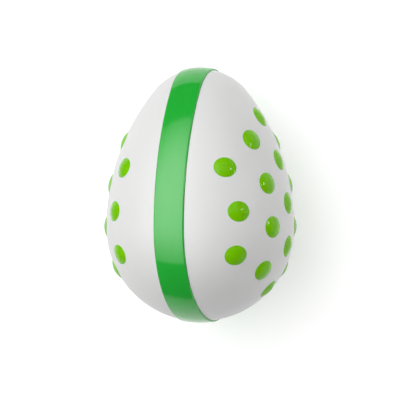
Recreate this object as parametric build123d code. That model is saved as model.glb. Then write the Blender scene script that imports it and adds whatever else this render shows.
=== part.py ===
from build123d import *
from math import acos, atan2, cos, degrees, floor, hypot, radians, sin, sqrt
import os

# Egg shaker: a hollow plastic egg with a green band round its seam, raised soft dots and loose beads inside.
#
# The egg lies on its side. Its long axis runs along Y with the small end towards +Y, the band's plane is
# X = 0, and the band rests on Z = 0. The origin is under the middle of the egg. All sizes are in
# millimetres.
#
# Each shape is made round the centre of the egg's round big end, with the long axis on Y, and is moved to its
# place when it is written.

# Egg outline: a half circle at the big end, a long arc up each side and a small circle at the tip,
# all tangent
EGG_DIAMETER = 44.2
EGG_LENGTH = 59.4
SIDE_ARC_RADIUS = 51.5
WALL = 2.0

BIG_RADIUS = EGG_DIAMETER / 2
TIP_REACH = EGG_LENGTH - BIG_RADIUS
TIP_RADIUS = (2 * SIDE_ARC_RADIUS * BIG_RADIUS - BIG_RADIUS**2 - TIP_REACH**2) / (
    2 * (SIDE_ARC_RADIUS - TIP_REACH)
)
SIDE_CENTRE = SIDE_ARC_RADIUS - BIG_RADIUS  # how far beyond the axis the side arc's centre lies
TIP_CENTRE = TIP_REACH - TIP_RADIUS
TIP_JOIN_ANGLE = degrees(atan2(TIP_CENTRE, SIDE_CENTRE))  # from the widest place to where the tip begins

# Band: a ring of T section between the two shells, a little proud of them
BAND_WIDTH = 7.2
BAND_RAISE = 0.35
BAND_EDGE_RADIUS = 0.3
CAP_UNDERSIDE = 1.0  # depth below the shells' outer surface
WEB_WIDTH = 3.2
JOINT_GAP = 0.03  # weld gap between the band and the shells' shoulders and lips

# Shells
SHELL_EDGE = BAND_WIDTH / 2 + JOINT_GAP
LIP_END = WEB_WIDTH / 2 + JOINT_GAP
LIP_TOP = CAP_UNDERSIDE + JOINT_GAP
SHELL_EDGE_RADIUS = 0.06

# Raised dots: soft plugs moulded through holes in the shells, in columns of 3, 4, 5, 4 and 3
DOT_DIAMETER = 5.0
DOT_STRETCH = 0.018  # how much longer a column's dots are round the egg, times the square of its number
DOT_HEIGHT = 0.55
DOT_RIM_DROP = 0.15  # the dome's rim lies this far below the tangent plane, where the egg curves away
HEAD_DEPTH = 0.65
NECK_DIAMETER = 2.6
TAIL_DIAMETER = 4.2
TAIL_THICKNESS = 0.6
DOT_GAP = 0.03
HOLE_OVERRUN = 1.0  # a dot's hole is cut this far past both faces of the wall
DOT_COLUMN_PITCH = 7.85
DOT_ROW_PITCH = 10.05
DOT_PATTERN_CENTRE = (5.7, 0.5)  # along the egg, and towards +Z on the right-hand shell
DOT_COLUMN_DROOP = 0.47  # how much lower a column's middle is, times the square of its number from the centre
DOT_COLUMN_LEAN = 0.03  # how much the columns lean towards +Z on the right-hand shell, per length
OUTER_COLUMN = 2
CENTRE_COLUMN_DOTS = 5

# Loose beads: rows across the egg, each with a bed on the wall and loose beads lying on that bed
BEAD_DIAMETER = 3.6
BEAD_GAP = 0.15
BEAD_WALL_GAP = 0.2
BEAD_ROWS = 8
FIRST_ROW = -9.5
ROW_PITCH = BEAD_DIAMETER + BEAD_GAP
BED_LEVEL = 14.4  # the bed reaches up to this depth below the long axis
HEAP_LEVEL = 10.8

AXIS_HEIGHT = BIG_RADIUS + BAND_RAISE
MIDDLE = (TIP_REACH - BIG_RADIUS) / 2
PLACE = Location((0, -MIDDLE, AXIS_HEIGHT))
CUT_SIZE = 2 * EGG_LENGTH  # larger than anything it cuts


def egg(depth):
    """The solid egg whose surface lies this far inside the shells' outer surface, or outside if negative."""
    big, side, tip = BIG_RADIUS - depth, SIDE_ARC_RADIUS - depth, TIP_RADIUS - depth
    # in this plane x runs along the long axis and y away from it, downwards
    plane = Plane(origin=(0, 0, 0), x_dir=(0, 1, 0), z_dir=(-1, 0, 0))
    outline = [
        CenterArc((0, 0), big, 90, 90),
        CenterArc((0, -SIDE_CENTRE), side, 90 - TIP_JOIN_ANGLE, TIP_JOIN_ANGLE),
        CenterArc((TIP_CENTRE, 0), tip, 0, 90 - TIP_JOIN_ANGLE),
        Line((-big, 0), (TIP_CENTRE + tip, 0)),
    ]
    return revolve(plane * make_face(outline), Axis.Y, 360)


def slab(low, high):
    """The space between two planes across X."""
    return Pos((low + high) / 2, 0, 0) * Box(high - low, CUT_SIZE, CUT_SIZE)


def radius_at(along, depth=0.0):
    """The egg's radius at a place along its axis, for the surface at this depth."""
    if along <= 0:
        return sqrt((BIG_RADIUS - depth) ** 2 - along**2)
    join = (SIDE_ARC_RADIUS - depth) * sin(radians(TIP_JOIN_ANGLE))
    if along <= join:
        return sqrt((SIDE_ARC_RADIUS - depth) ** 2 - along**2) - SIDE_CENTRE
    return sqrt((TIP_RADIUS - depth) ** 2 - (along - TIP_CENTRE) ** 2)


def normal_at(point):
    """The outward direction of the egg's surface at a point on it."""
    around = hypot(point.X, point.Z)
    if point.Y <= 0:
        return point.normalized()
    if point.Y <= SIDE_ARC_RADIUS * sin(radians(TIP_JOIN_ANGLE)):
        stretch = (around + SIDE_CENTRE) / around
        return Vector(point.X * stretch, point.Y, point.Z * stretch).normalized()
    return (point - Vector(0, TIP_CENTRE, 0)).normalized()


def band():
    """The green ring, with a cap that shows and a web between the shells' lips."""
    cap = (egg(-BAND_RAISE) - egg(CAP_UNDERSIDE)) & slab(-BAND_WIDTH / 2, BAND_WIDTH / 2)
    rims = [e for e in cap.edges() if on_outer_rim(e, BAND_WIDTH / 2, -BAND_RAISE)]
    cap = fillet(rims, BAND_EDGE_RADIUS)
    web = (egg(CAP_UNDERSIDE) - egg(WALL)) & slab(-WEB_WIDTH / 2, WEB_WIDTH / 2)
    return cap + web


def on_outer_rim(edge, at_x, depth):
    """Whether an edge lies in a plane across X, on the egg surface at this depth."""
    tolerance = 0.01
    middle = edge.position_at(0.5)
    around = hypot(middle.X, middle.Z)
    return (
        abs(abs(middle.X) - at_x) < tolerance
        and abs(abs(edge.position_at(0).X) - at_x) < tolerance
        and abs(around - radius_at(middle.Y, depth)) < tolerance
    )


def shell_blank():
    """The right-hand shell before its holes: half the egg's wall, with a lip that goes under the band."""
    half = (egg(0) - egg(WALL)) & slab(SHELL_EDGE, CUT_SIZE)
    rims = [e for e in half.edges() if on_outer_rim(e, SHELL_EDGE, 0)]
    half = fillet(rims, SHELL_EDGE_RADIUS)
    overlap = 0.5  # the lip runs this far into the wall, so that the two join
    lip = (egg(LIP_TOP) - egg(WALL)) & slab(LIP_END, SHELL_EDGE + overlap)
    return half + lip


def dot_places():
    """The planes of the dots on the right-hand shell, column by column, with how much each is stretched."""
    places = []
    centre_along, centre_across = DOT_PATTERN_CENTRE
    for column in range(-OUTER_COLUMN, OUTER_COLUMN + 1):
        count = CENTRE_COLUMN_DOTS - abs(column)
        middle = centre_along - DOT_COLUMN_DROOP * column**2
        for row in range(count):
            along = middle + (row - (count - 1) / 2) * DOT_ROW_PITCH
            lean = (along - centre_along) * DOT_COLUMN_LEAN
            across = column * DOT_COLUMN_PITCH + centre_across + lean
            out = sqrt(radius_at(along) ** 2 - across**2)
            point = Vector(out, along, across)
            plane = Plane(origin=point, x_dir=(0, 1, 0), z_dir=normal_at(point))
            places.append((plane, 1 + DOT_STRETCH * column**2))
    return places


def plug(gap, stretch, top, bottom):
    """A dot's head, neck and tail on the Z axis, under a top that is drawn from the axis out to the rim.

    The head is stretched along Y and squeezed along X.
    """
    head_floor = -HEAD_DEPTH - gap
    tail_top = TAIL_THICKNESS - WALL + gap
    below = Polyline(top @ 1, ((top @ 1).X, head_floor), (0, head_floor), top @ 0)
    head = revolve(Plane.XZ * make_face([top, below]), Axis.Z, 360)
    head = scale(head, by=(1 / stretch, stretch, 1))
    neck = pin(NECK_DIAMETER / 2 + gap, tail_top, head_floor)
    tail = pin(TAIL_DIAMETER / 2 + gap, bottom, tail_top)
    return head + neck + tail


def pin(radius, low, high):
    """A cylinder on the Z axis between two heights."""
    return Pos(0, 0, (low + high) / 2) * Cylinder(radius, high - low)


def dot(stretch):
    """One dot with the shell's outer surface at Z = 0: a low dome, and the plug that holds it in the wall."""
    dome = TangentArc((0, DOT_HEIGHT), (DOT_DIAMETER / 2, -DOT_RIM_DROP), tangent=(1, 0))
    return plug(0, stretch, dome, -WALL)


def dot_hole(stretch):
    """The hole that a dot fills."""
    mouth = Line((0, HOLE_OVERRUN), (DOT_DIAMETER / 2 + DOT_GAP, HOLE_OVERRUN))
    return plug(DOT_GAP, stretch, mouth, -WALL - HOLE_OVERRUN)


def bead(along, angle, radius):
    """One bead at an angle round the long axis from straight down, with its centre this far from the axis."""
    turn = radians(angle)
    return Pos(radius * sin(turn), along, -radius * cos(turn)) * Sphere(BEAD_DIAMETER / 2)


def spread(radius, level, pitch_angle):
    """Evenly spaced angles for the beads of a layer that reaches up to a level below the axis."""
    reach = degrees(acos(level / radius))
    count = floor(2 * reach / pitch_angle) + 1
    return [(n - (count - 1) / 2) * pitch_angle for n in range(count)]


def chord_angle(radius):
    """The angle between neighbouring beads whose centres are this far from the axis."""
    return degrees(acos(1 - ROW_PITCH**2 / (2 * radius**2)))


def resting_radius(angle, bed_angles, bed_radius):
    """How far out a bead at this angle can lie before it meets the bed."""
    radius = bed_radius
    for other in bed_angles:
        apart = radians(abs(angle - other))
        if bed_radius * sin(apart) < ROW_PITCH:
            touching = bed_radius * cos(apart) - sqrt(ROW_PITCH**2 - (bed_radius * sin(apart)) ** 2)
            radius = min(radius, touching)
    return radius


def bead_row(number):
    """The bed and the loose beads of one row, as two lists of beads."""
    along = FIRST_ROW + number * ROW_PITCH
    bed_radius = radius_at(along, WALL + BEAD_DIAMETER / 2 + BEAD_WALL_GAP)
    bed_angles = spread(bed_radius, BED_LEVEL, chord_angle(bed_radius))
    heap_radius = bed_radius - ROW_PITCH
    heap_angles = spread(heap_radius, HEAP_LEVEL, chord_angle(heap_radius))
    bed = [bead(along, angle, bed_radius) for angle in bed_angles]
    heap = [bead(along, angle, resting_radius(angle, bed_angles, bed_radius)) for angle in heap_angles]
    return bed, heap


def write(name, *solids):
    """Puts a node's solids in their place and writes them as one STEP file."""
    placed = [PLACE * solid for solid in solids]
    export_step(placed[0] if len(placed) == 1 else Compound(placed), f"parts/{name}.step")


os.makedirs("parts", exist_ok=True)

write("centre_band", band())

# both shells come out of one mould, so the left one is the right one turned over
turned_over = Rot(0, 180, 0)
places = dot_places()
right_shell = shell_blank() - [place * dot_hole(stretch) for place, stretch in places]
write("right_shell", right_shell)
write("left_shell", turned_over * right_shell)

for number, (place, stretch) in enumerate(places, start=1):
    placed_dot = place * dot(stretch)
    write(f"right_dot_{number:02d}", placed_dot)
    write(f"left_dot_{number:02d}", turned_over * placed_dot)

for number in range(BEAD_ROWS):
    bed, heap = bead_row(number)
    write(f"bead_bed_{number + 1}", *bed)
    write(f"loose_beads_{number + 1}", *heap)
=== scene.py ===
from math import cos, pi, radians, sin

import bpy
from mathutils import Matrix, Vector

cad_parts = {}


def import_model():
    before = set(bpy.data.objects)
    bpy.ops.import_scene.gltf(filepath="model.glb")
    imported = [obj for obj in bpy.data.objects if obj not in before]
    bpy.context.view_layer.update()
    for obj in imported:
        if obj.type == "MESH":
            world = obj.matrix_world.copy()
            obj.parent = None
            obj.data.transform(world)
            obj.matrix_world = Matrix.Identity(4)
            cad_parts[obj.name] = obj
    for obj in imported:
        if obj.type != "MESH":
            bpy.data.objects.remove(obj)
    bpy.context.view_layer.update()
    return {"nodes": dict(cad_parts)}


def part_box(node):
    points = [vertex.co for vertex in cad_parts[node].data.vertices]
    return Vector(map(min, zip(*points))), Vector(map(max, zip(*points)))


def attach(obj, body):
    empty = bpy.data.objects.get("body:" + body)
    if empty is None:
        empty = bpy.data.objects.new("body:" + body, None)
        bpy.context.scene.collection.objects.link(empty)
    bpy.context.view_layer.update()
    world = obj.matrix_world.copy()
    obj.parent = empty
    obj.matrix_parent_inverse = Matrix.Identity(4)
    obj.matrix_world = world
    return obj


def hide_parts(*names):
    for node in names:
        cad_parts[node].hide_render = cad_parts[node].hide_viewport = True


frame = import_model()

# Looks of an egg shaker. All lengths are in metres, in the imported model's frame: the egg lies on the
# floor with its long axis on Y, its small end towards +Y and its green band in the plane X = 0.

BAND_LOW, BAND_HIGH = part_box("centre_band")
LENGTH = BAND_HIGH.y - BAND_LOW.y
EGG_CENTRE = (BAND_LOW + BAND_HIGH) / 2
AXIS_HEIGHT = EGG_CENTRE.z
MM = 0.001
TINY = 0.01 * MM  # finer than any step in the CAD

# Camera: above the egg, turned about its long axis towards the right-hand shell
CAMERA_TURN = radians(19.3)
CAMERA_DISTANCE = 0.60
FIELD = LENGTH * 1.565  # width of the picture where the egg is
CAMERA_AIM = Vector((-0.0001, -0.0012, 0))
SENSOR = 0.036

# Light. A radiance of 1 is a white surface in full light.
KEY_HEIGHT = 0.60  # of the overhead softbox above the middle of the egg
KEY_LEFT, KEY_RIGHT = -1.75, 0.40  # its sides on X, as shares of its height
KEY_BACK, KEY_FRONT = -0.93, 1.64  # and on Y
# Its brightest place, measured from above the egg, and the radius of that, also as shares of its height
KEY_HOT_SPOT = (-0.35, 0.34)
KEY_HOT_RADIUS = 0.9
KEY_RADIANCE = 2.88
KEY_EDGE_SHARE = 0.18  # how bright it is far from there
PANELS = {  # direction from the egg, distance, width and height, radiance
    "side_light": (Vector((0.55, 0.50, 0.67)), 0.60, (0.60, 0.50), 0.65),
    "glint_light": (Vector((0.92, 0.26, 0.19)), 0.50, (0.08, 0.08), 12.0),
}
WORLD_RADIANCE = 0.07
FLOOR_SIDE = 6.0
FLOOR_ALBEDO = 0.82
FLOOR_GLOW = 0.41  # radiance under the egg, which fades out past the radius below
FLOOR_GLOW_RADIUS = 0.12

# Colours, each as a pair that the material drifts between
SHELL_COLOURS = (0.755, 0.755, 0.750), (0.785, 0.785, 0.780)
BAND_COLOURS = (0.011, 0.39, 0.030), (0.018, 0.48, 0.042)
DOT_COLOURS = (0.17, 0.51, 0.0), (0.20, 0.60, 0.0)
BEAD_COLOURS = (0.42, 0.42, 0.43), (0.62, 0.62, 0.63)

# Finishes: roughness from the glossiest place to the dullest, refraction, and the depth of the relief
SHELL_ROUGHNESS = 0.34, 0.48
BAND_ROUGHNESS = 0.05, 0.17
DOT_ROUGHNESS = 0.05, 0.17
BEAD_ROUGHNESS = 0.16, 0.50
SHELL_IOR, BAND_IOR, DOT_IOR = 1.46, 1.72, 1.38
SHELL_RELIEF, BAND_RELIEF, DOT_RELIEF, BEAD_RELIEF = 0.006 * MM, 0.010 * MM, 0.010 * MM, 0.012 * MM

# Soft dots
DOT_SEGMENTS = 56
DOT_RINGS = 12
DOT_RING_BUNCHING = 1.3  # above 1, the rings lie closer together towards the rim
DOT_RIM_ROUND = 0.25 * MM
DOT_RIM_STEPS = 4
DOT_DEPTH = 0.55 * MM  # how far the head goes down into its pocket
POCKET_GAP = 0.03 * MM  # round the CAD dot's head, which the moulded one fills
RIM_PROBE_SHARE = 1.03  # the shell is probed this far out, as a share of the dot's radius
RIM_PROBE_START = 3 * MM  # above the dot's top


def camera():
    """A long lens, with the egg's small end up in the picture."""
    data = bpy.data.cameras.new("camera")
    data.sensor_width = SENSOR / MM
    data.lens = SENSOR / MM * CAMERA_DISTANCE / FIELD
    data.clip_start = 0.01
    right = Vector((cos(CAMERA_TURN), 0, -sin(CAMERA_TURN)))
    up = Vector((0, 1, 0))
    back = right.cross(up)
    turn = Matrix((right, up, back)).transposed()
    made = bpy.data.objects.new("camera", data)
    made.matrix_world = Matrix.Translation(EGG_CENTRE + CAMERA_AIM + back * CAMERA_DISTANCE) @ turn.to_4x4()
    bpy.context.scene.collection.objects.link(made)
    bpy.context.scene.camera = made


class Nodes:
    """A new material, with short ways to add its nodes."""

    def __init__(self, owner):
        self.owner = owner
        owner.use_nodes = True
        self.tree = owner.node_tree

    def add(self, kind, inputs=None, **settings):
        """A node of this kind. An input is a number, a colour or another node's output."""
        node = self.tree.nodes.new(kind)
        for name, value in settings.items():
            setattr(node, name, value)
        for name, value in (inputs or {}).items():
            self.set(node, name, value)
        return node

    def set(self, node, name, value):
        if isinstance(value, bpy.types.NodeSocket):
            self.tree.links.new(value, node.inputs[name])
        else:
            node.inputs[name].default_value = value

    def maths(self, operation, *values):
        node = self.add("ShaderNodeMath", operation=operation)
        for place, value in enumerate(values):
            self.set(node, place, value)
        return node.outputs[0]

    def place(self, stretch=(1, 1, 1)):
        """Where a point is in the object's frame, in millimetres, each axis times its stretch."""
        at = self.add("ShaderNodeTexCoord").outputs["Object"]
        by = tuple(share / MM for share in stretch)
        return self.add("ShaderNodeVectorMath", {0: at, 1: by}, operation="MULTIPLY").outputs[0]

    def noise(self, vector, scale, detail=2.0):
        """Noise from 0 to 1, with this many lumps per millimetre."""
        inputs = {"Vector": vector, "Scale": scale, "Detail": detail}
        return self.add("ShaderNodeTexNoise", inputs).outputs["Fac"]

    def specks(self, vector, scale, size):
        """1 in small round specks, one or none in each cell of this scale, and 0 round them."""
        cells = self.add("ShaderNodeTexVoronoi", {"Vector": vector, "Scale": scale}).outputs["Distance"]
        inputs = {"Value": cells, "From Min": size, "From Max": size * 0.4}
        return self.add("ShaderNodeMapRange", inputs).outputs["Result"]

    def blend(self, share, first, second):
        """A colour between two others."""
        node = self.add("ShaderNodeMix", data_type="RGBA")
        self.set(node, "Factor", share)
        node.inputs[6].default_value = (*first, 1)
        node.inputs[7].default_value = (*second, 1)
        return node.outputs[2]

    def bumped(self, height, depth):
        """Normals of a surface raised by this depth in metres where the height is 1."""
        return self.add("ShaderNodeBump", {"Height": height, "Distance": depth}).outputs["Normal"]

    def ranged(self, value, low, high):
        """A value that runs from 0 to 1, brought between two others."""
        inputs = {"Value": value, "To Min": low, "To Max": high}
        return self.add("ShaderNodeMapRange", inputs).outputs["Result"]

    def bell(self, place, centre, radius):
        """1 at the centre, falling smoothly to a third at this radius and to nothing further out."""
        offset = self.add("ShaderNodeVectorMath", {0: place, 1: centre}, operation="SUBTRACT").outputs[0]
        away = self.add("ShaderNodeVectorMath", {0: offset}, operation="LENGTH").outputs["Value"]
        share = self.maths("DIVIDE", away, radius)
        return self.maths("EXPONENT", self.maths("MULTIPLY", self.maths("MULTIPLY", share, share), -1.0))

    def shader(self, **inputs):
        """Sets the surface's inputs, given by name with _ for each space."""
        shader = self.tree.nodes["Principled BSDF"]
        for name, value in inputs.items():
            self.set(shader, name.replace("_", " "), value)


def softbox(name, centre, across, along, width, height):
    """A flat light that faces along the cross product of its two sides. The camera doesn't see it."""
    mesh = bpy.data.meshes.new(name)
    x, y = width / 2, height / 2
    mesh.from_pydata([(-x, -y, 0), (x, -y, 0), (x, y, 0), (-x, y, 0)], [], [(0, 1, 2, 3)])
    made = bpy.data.objects.new(name, mesh)
    turn = Matrix((across, along, across.cross(along))).transposed()
    made.matrix_world = Matrix.Translation(centre) @ turn.to_4x4()
    made.visible_camera = False
    bpy.context.scene.collection.objects.link(made)
    return made


def glow(made, radiance, hot_spot, hot_radius, edge_share):
    """Gives a softbox its light, which fades from the hot spot, and leaves its back dark."""
    nodes = Nodes(bpy.data.materials.new(made.name))
    nodes.tree.nodes.clear()
    place = nodes.add("ShaderNodeTexCoord").outputs["Object"]
    level = nodes.ranged(nodes.bell(place, (*hot_spot, 0), hot_radius), radiance * edge_share, radiance)
    back = nodes.add("ShaderNodeNewGeometry").outputs["Backfacing"]
    strength = nodes.maths("MULTIPLY", level, nodes.maths("SUBTRACT", 1.0, back))
    light = nodes.add("ShaderNodeEmission", {"Strength": strength}).outputs[0]
    nodes.add("ShaderNodeOutputMaterial", {"Surface": light})
    made.data.materials.append(nodes.owner)


def key_light():
    """The large softbox over the egg, level with the floor, mostly on the left."""
    left, right, low, high = (KEY_HEIGHT * share for share in (KEY_LEFT, KEY_RIGHT, KEY_BACK, KEY_FRONT))
    centre = EGG_CENTRE + Vector(((left + right) / 2, (low + high) / 2, KEY_HEIGHT))
    made = softbox("key_light", centre, Vector((-1, 0, 0)), Vector((0, 1, 0)), right - left, high - low)
    hot_x = (left + right) / 2 - KEY_HOT_SPOT[0] * KEY_HEIGHT
    hot_y = KEY_HOT_SPOT[1] * KEY_HEIGHT - (low + high) / 2
    glow(made, KEY_RADIANCE, (hot_x, hot_y), KEY_HOT_RADIUS * KEY_HEIGHT, KEY_EDGE_SHARE)


def panels():
    """The smaller softboxes on the right: one lights that side, and one makes the dots' highlights."""
    for name, (direction, distance, size, radiance) in PANELS.items():
        towards = -direction.normalized()
        along = towards.cross(Vector((0, 1, 0))).normalized()
        across = along.cross(towards)
        made = softbox(name, EGG_CENTRE - towards * distance, across, along, *size)
        glow(made, radiance, (0, 0), max(size), 1.0)


def world():
    made = bpy.data.worlds.new("studio")
    made.use_nodes = True
    background = made.node_tree.nodes["Background"]
    background.inputs["Color"].default_value = (1, 1, 1, 1)
    background.inputs["Strength"].default_value = WORLD_RADIANCE
    bpy.context.scene.world = made


def floor():
    """A plain pale floor, which glows a little round the egg, as if lit from below."""
    half = FLOOR_SIDE / 2
    mesh = bpy.data.meshes.new("floor")
    corners = [(-half, -half, 0), (half, -half, 0), (half, half, 0), (-half, half, 0)]
    mesh.from_pydata(corners, [], [(0, 1, 2, 3)])
    made = bpy.data.objects.new("floor", mesh)
    bpy.context.scene.collection.objects.link(made)
    nodes = Nodes(bpy.data.materials.new("floor"))
    at = nodes.add("ShaderNodeTexCoord").outputs["Object"]
    bell = nodes.bell(at, (0, 0, 0), FLOOR_GLOW_RADIUS)
    nodes.shader(
        Base_Color=(FLOOR_ALBEDO, FLOOR_ALBEDO, FLOOR_ALBEDO, 1),
        Roughness=0.8,
        Specular_IOR_Level=0.0,
        Emission_Color=(1, 1, 1, 1),
        Emission_Strength=nodes.ranged(bell, 0.0, FLOOR_GLOW),
    )
    made.data.materials.append(nodes.owner)


def shell_material():
    """Satin off-white plastic: faint cloudiness, orange peel, and a few hairline marks from handling."""
    nodes = Nodes(bpy.data.materials.new("shell"))
    clouds = nodes.noise(nodes.place(), 0.12)
    peel = nodes.noise(nodes.place(), 1.1, 3.0)
    grain = nodes.noise(nodes.place(), 9.0)
    hairlines = nodes.noise(nodes.place((0.5, 9.0, 3.0)), 1.0, 4.0)
    relief = nodes.maths("ADD", peel, nodes.maths("MULTIPLY", grain, 0.12))
    relief = nodes.maths("ADD", relief, nodes.maths("MULTIPLY", hairlines, 0.05))
    gloss = nodes.maths("ADD", nodes.maths("MULTIPLY", peel, 0.5), nodes.maths("MULTIPLY", hairlines, 0.5))
    nodes.shader(
        Base_Color=nodes.blend(clouds, *SHELL_COLOURS),
        Roughness=nodes.ranged(gloss, *SHELL_ROUGHNESS),
        IOR=SHELL_IOR,
        Normal=nodes.bumped(relief, SHELL_RELIEF),
    )
    return nodes.owner


def band_material():
    """Polished green plastic, with fine polishing streaks that run round the band and a few dust specks."""
    nodes = Nodes(bpy.data.materials.new("band"))
    streaks = nodes.noise(nodes.place((4.0, 0.05, 0.05)), 1.0, 4.0)
    waves = nodes.noise(nodes.place((0.5, 0.12, 0.12)), 1.0)
    dust = nodes.specks(nodes.place(), 0.35, 0.05)
    tone = nodes.maths("ADD", nodes.maths("MULTIPLY", streaks, 0.4), nodes.maths("MULTIPLY", waves, 0.6))
    relief = nodes.maths("ADD", nodes.maths("MULTIPLY", streaks, 0.25), waves)
    gloss = nodes.maths("ADD", streaks, dust)
    nodes.shader(
        Base_Color=nodes.blend(tone, *BAND_COLOURS),
        Roughness=nodes.ranged(gloss, *BAND_ROUGHNESS),
        IOR=BAND_IOR,
        Normal=nodes.bumped(relief, BAND_RELIEF),
    )
    return nodes.owner


def dot_material():
    """Soft lime plastic, which lets a little light in, with a gloss skin and a faint pebble."""
    nodes = Nodes(bpy.data.materials.new("dot"))
    clouds = nodes.noise(nodes.place(), 0.45)
    pebble = nodes.noise(nodes.place(), 2.2, 3.0)
    pits = nodes.specks(nodes.place(), 0.9, 0.09)
    relief = nodes.maths("SUBTRACT", pebble, nodes.maths("MULTIPLY", pits, 0.5))
    gloss = nodes.maths("ADD", nodes.maths("MULTIPLY", pebble, 0.6), nodes.maths("MULTIPLY", clouds, 0.4))
    nodes.shader(
        Base_Color=nodes.blend(clouds, *DOT_COLOURS),
        Roughness=nodes.ranged(gloss, *DOT_ROUGHNESS),
        IOR=DOT_IOR,
        Specular_IOR_Level=0.35,
        Subsurface_Weight=0.25,
        Subsurface_Radius=(0.5, 1.0, 0.1),
        Subsurface_Scale=0.4 * MM,
        Normal=nodes.bumped(relief, DOT_RELIEF),
    )
    return nodes.owner


def bead_material():
    """Plain steel shot, dulled and nicked where the beads knock together."""
    nodes = Nodes(bpy.data.materials.new("bead"))
    smears = nodes.noise(nodes.place(), 0.7, 4.0)
    nicks = nodes.specks(nodes.place(), 2.5, 0.14)
    nodes.shader(
        Base_Color=nodes.blend(smears, *BEAD_COLOURS),
        Metallic=1.0,
        Roughness=nodes.ranged(nodes.maths("ADD", smears, nicks), *BEAD_ROUGHNESS),
        Normal=nodes.bumped(nodes.maths("SUBTRACT", smears, nicks), BEAD_RELIEF),
    )
    return nodes.owner


def paint(name, material):
    node = frame["nodes"][name]
    node.data.materials.clear()
    node.data.materials.append(material)


class Socket:
    """Where a CAD dot sits: the end of its axis inside the shell, its three directions and its sizes."""

    def __init__(self, node):
        mesh, matrix = node.data, node.matrix_world
        corners = [matrix @ vertex.co for vertex in mesh.vertices]
        middle = sum(corners, Vector()) / len(corners)
        outward = Vector((middle.x, 0, middle.z - AXIS_HEIGHT))
        inner_end = min(mesh.polygons, key=lambda face: (matrix @ face.center).dot(outward))
        turn = matrix.to_3x3()
        self.axis = -(turn @ inner_end.normal).normalized()
        level = (matrix @ inner_end.center).dot(self.axis)
        end = [at for at in corners if at.dot(self.axis) < level + TINY]
        self.along = (Vector((0, 1, 0)) - self.axis * self.axis.y).normalized()
        self.round = self.axis.cross(self.along)
        spans = [self.span(end, way) for way in (self.axis, self.along, self.round)]
        ways = (self.axis, self.along, self.round)
        self.foot = sum((way * (low + high) / 2 for way, (low, high) in zip(ways, spans)), Vector())
        self.half_along = self.half_span(corners, self.along)
        self.half_round = self.half_span(corners, self.round)
        self.top = self.span(corners, self.axis)[1] - level

    @staticmethod
    def span(points, way):
        shares = [at.dot(way) for at in points]
        return min(shares), max(shares)

    def half_span(self, points, way):
        low, high = self.span(points, way)
        return (high - low) / 2 + POCKET_GAP

    def at(self, share, angle, height):
        """A point at a share of the head's radius, in a direction round the axis, above the foot."""
        spread = self.along * (self.half_along * cos(angle)) + self.round * (self.half_round * sin(angle))
        return self.foot + spread * share + self.axis * height


def rim_heights(socket, shell):
    """How high the shell's surface is above the socket's foot just outside the rim, in each direction."""
    heights = []
    start = socket.top + RIM_PROBE_START
    for step in range(DOT_SEGMENTS):
        above = socket.at(RIM_PROBE_SHARE, 2 * pi * step / DOT_SEGMENTS, start)
        hit, at, _, _ = shell.ray_cast(above, -socket.axis)
        heights.append((at - socket.foot).dot(socket.axis) if hit else socket.top)
    return heights


def dome_rings(socket, rims):
    """Rings from the dome's top to its pocket: in each, a share of the radius and a height at every step."""
    radius = (socket.half_along + socket.half_round) / 2
    rim_share = DOT_RIM_ROUND / radius
    rings = []
    for ring in range(1, DOT_RINGS + 1):
        share = (1 - rim_share) * (1 - (1 - ring / DOT_RINGS) ** DOT_RING_BUNCHING)
        rings.append([(share, (1 - share**2) * socket.top + share**2 * rim) for rim in rims])
    edge = (1 - rim_share) ** 2
    slope_drop = rim_share * 2 * (socket.top - sum(rims) / len(rims))
    for step in range(1, DOT_RIM_STEPS + 1):
        turn = pi / 2 * step / DOT_RIM_STEPS
        share = 1 - rim_share + rim_share * sin(turn)
        drop = slope_drop * (1 - cos(turn))
        rings.append([(share, (1 - edge) * socket.top + edge * rim - drop) for rim in rims])
    rings.append([(1.0, rim - DOT_DEPTH) for rim in rims])
    return rings


def dome_faces(ring_count):
    """Faces over the top point, the rings and the bottom point, which are numbered in that order."""
    faces = []
    outer = 1 + (ring_count - 1) * DOT_SEGMENTS
    last = 1 + ring_count * DOT_SEGMENTS
    for step in range(DOT_SEGMENTS):
        after = (step + 1) % DOT_SEGMENTS
        faces.append((0, 1 + step, 1 + after))
        for ring in range(ring_count - 1):
            first = 1 + ring * DOT_SEGMENTS
            second = first + DOT_SEGMENTS
            faces.append((first + step, second + step, second + after, first + after))
        faces.append((outer + step, last, outer + after))
    return faces


def soft_dot(name, shell, material):
    """A low moulded dome whose rounded rim follows the shell's surface, in place of a CAD dot."""
    socket = Socket(frame["nodes"][name])
    rims = rim_heights(socket, shell)
    rings = dome_rings(socket, rims)
    verts = [socket.at(0, 0, socket.top)]
    for ring in rings:
        for step, (share, height) in enumerate(ring):
            verts.append(socket.at(share, 2 * pi * step / DOT_SEGMENTS, height))
    verts.append(socket.at(0, 0, sum(rims) / len(rims) - DOT_DEPTH))

    mesh = bpy.data.meshes.new(name + "_pad")
    mesh.from_pydata(verts, [], dome_faces(len(rings)))
    mesh.validate()
    mesh.shade_smooth()
    mesh.materials.append(material)
    made = bpy.data.objects.new(name + "_pad", mesh)
    bpy.context.scene.collection.objects.link(made)
    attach(made, "egg")
    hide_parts(name)


bpy.context.scene.view_settings.view_transform = "Standard"
camera()
world()
floor()
key_light()
panels()

shell = shell_material()
band = band_material()
lime = dot_material()
steel = bead_material()
bpy.context.view_layer.update()
for name in list(frame["nodes"]):
    if "shell" in name:
        paint(name, shell)
    elif name == "centre_band":
        paint(name, band)
    elif "dot" in name:
        side = name.split("_")[0]
        soft_dot(name, frame["nodes"][side + "_shell"], lime)
    else:
        paint(name, steel)
